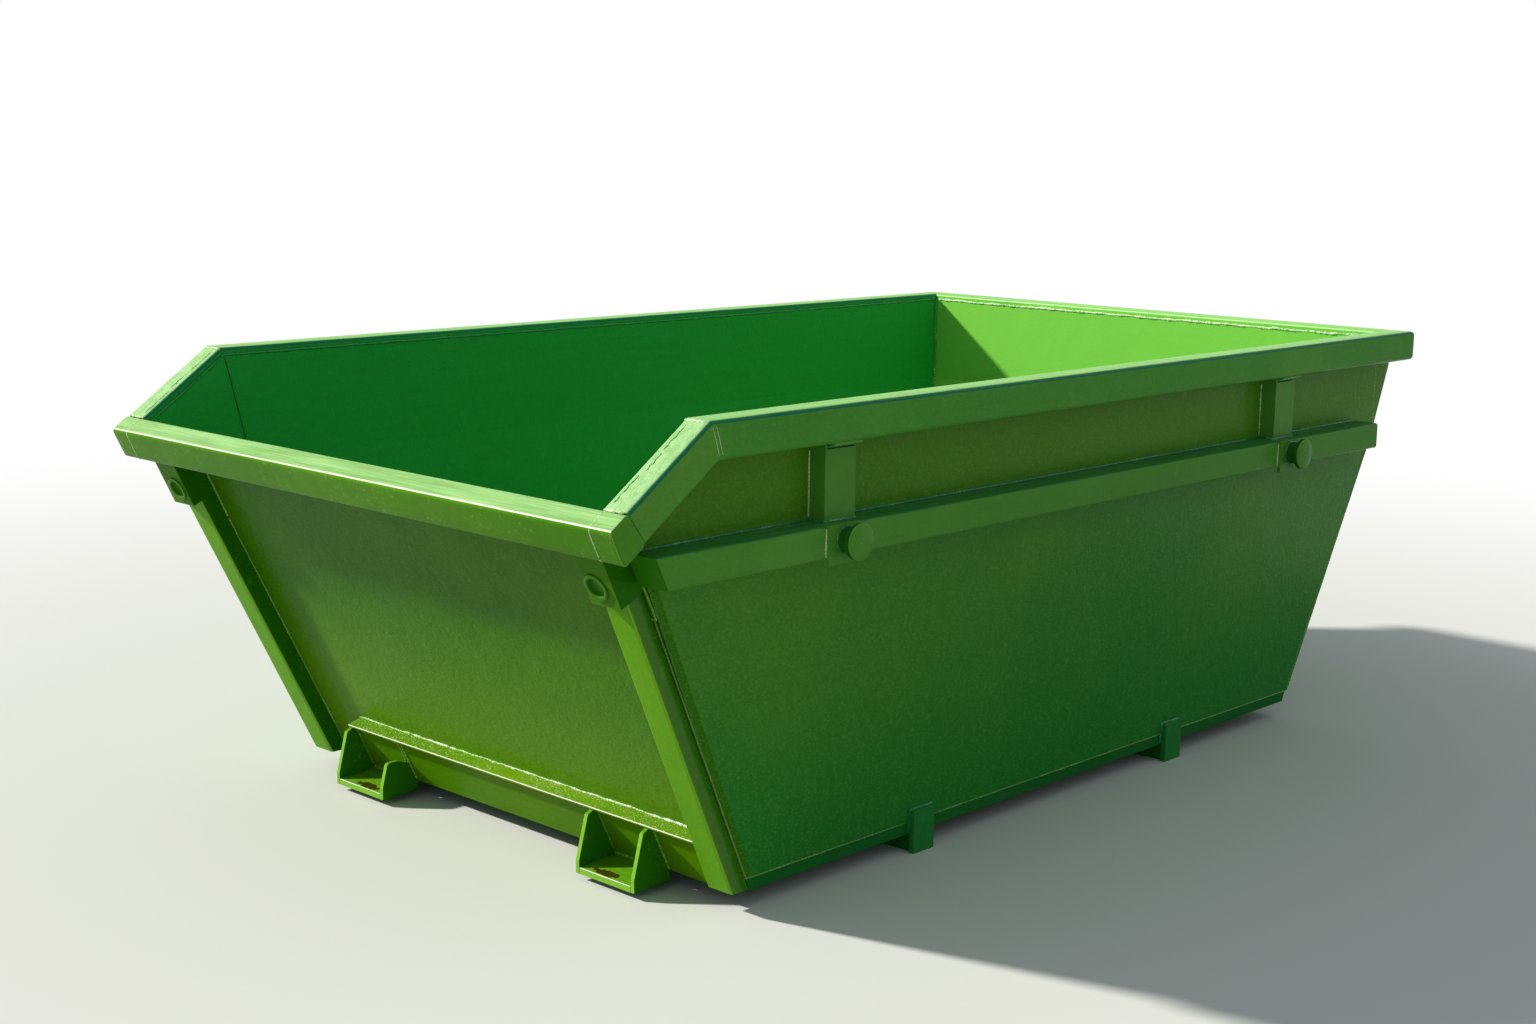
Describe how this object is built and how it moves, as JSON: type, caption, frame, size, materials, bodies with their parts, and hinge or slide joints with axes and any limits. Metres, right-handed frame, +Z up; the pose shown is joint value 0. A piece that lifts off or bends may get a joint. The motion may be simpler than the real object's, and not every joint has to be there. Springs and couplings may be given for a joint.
{
  "type": "builders skip",
  "caption": "Open steel waste skip with sloping ends, a low pouring lip, belt rails, lifting pins, corner posts, tipping bar and hook pockets.",
  "frame": {"origin": "on the ground, under the middle of the box that just holds the skip", "axes": "+Y runs along the skip from the pouring lip to the rear rail, +X across it, +Z up"},
  "size_m": [2.0172, 3.3259, 1.17],
  "materials": {
    "sheet_paint": "gloss green paint brushed and rolled over welded steel sheet",
    "rail_paint": "gloss green paint on rolled hollow section, scuffed pale on the upper faces",
    "fitting_paint": "gloss green paint on thick fittings, rubbed at the edges",
    "plate_paint": "gloss green paint, sunlit, with chips and a little rust at the hook pockets"
  },
  "bodies": {
    "root": {"belt_cap_front_far": "rail_paint", "belt_cap_front_near": "rail_paint", "belt_cap_rear_far": "rail_paint", "belt_cap_rear_near": "rail_paint", "belt_rail_far": "rail_paint", "belt_rail_near": "rail_paint", "bracket_socket_far": "fitting_paint", "bracket_socket_near": "fitting_paint", "corner_post_far": "plate_paint", "corner_post_near": "plate_paint", "floor_sheet": "sheet_paint", "foot_bearer_front": "sheet_paint", "foot_bearer_rear": "sheet_paint", "foot_plate_front_far": "fitting_paint", "foot_plate_front_near": "fitting_paint", "foot_plate_rear_far": "fitting_paint", "foot_plate_rear_near": "fitting_paint", "front_beam": "plate_paint", "front_bracket_far": "fitting_paint", "front_bracket_near": "fitting_paint", "front_wall": "sheet_paint", "gusset_cap_front_far": "fitting_paint", "gusset_cap_front_near": "fitting_paint", "gusset_cap_rear_far": "fitting_paint", "gusset_cap_rear_near": "fitting_paint", "gusset_post_front_far": "fitting_paint", "gusset_post_front_near": "fitting_paint", "gusset_post_rear_far": "fitting_paint", "gusset_post_rear_near": "fitting_paint", "lift_pin_front_far": "fitting_paint", "lift_pin_front_near": "fitting_paint", "lift_pin_rear_far": "fitting_paint", "lift_pin_rear_near": "fitting_paint", "lift_plate_front_far": "fitting_paint", "lift_plate_front_near": "fitting_paint", "lift_plate_rear_far": "fitting_paint", "lift_plate_rear_near": "fitting_paint", "lip_end_far": "rail_paint", "lip_end_near": "rail_paint", "lip_tube": "rail_paint", "pocket_floor_far": "plate_paint", "pocket_floor_near": "plate_paint", "pocket_plate_inner_far": "plate_paint", "pocket_plate_inner_near": "plate_paint", "pocket_plate_outer_far": "plate_paint", "pocket_plate_outer_near": "plate_paint", "rear_rail": "rail_paint", "rear_wall": "sheet_paint", "side_panel_far": "sheet_paint", "side_panel_near": "sheet_paint", "sill_far": "sheet_paint", "sill_near": "sheet_paint", "sloping_rail_far": "rail_paint", "sloping_rail_near": "rail_paint", "tipping_bar": "plate_paint", "top_rail_far": "rail_paint", "top_rail_near": "rail_paint"}
  },
  "joints": []
}
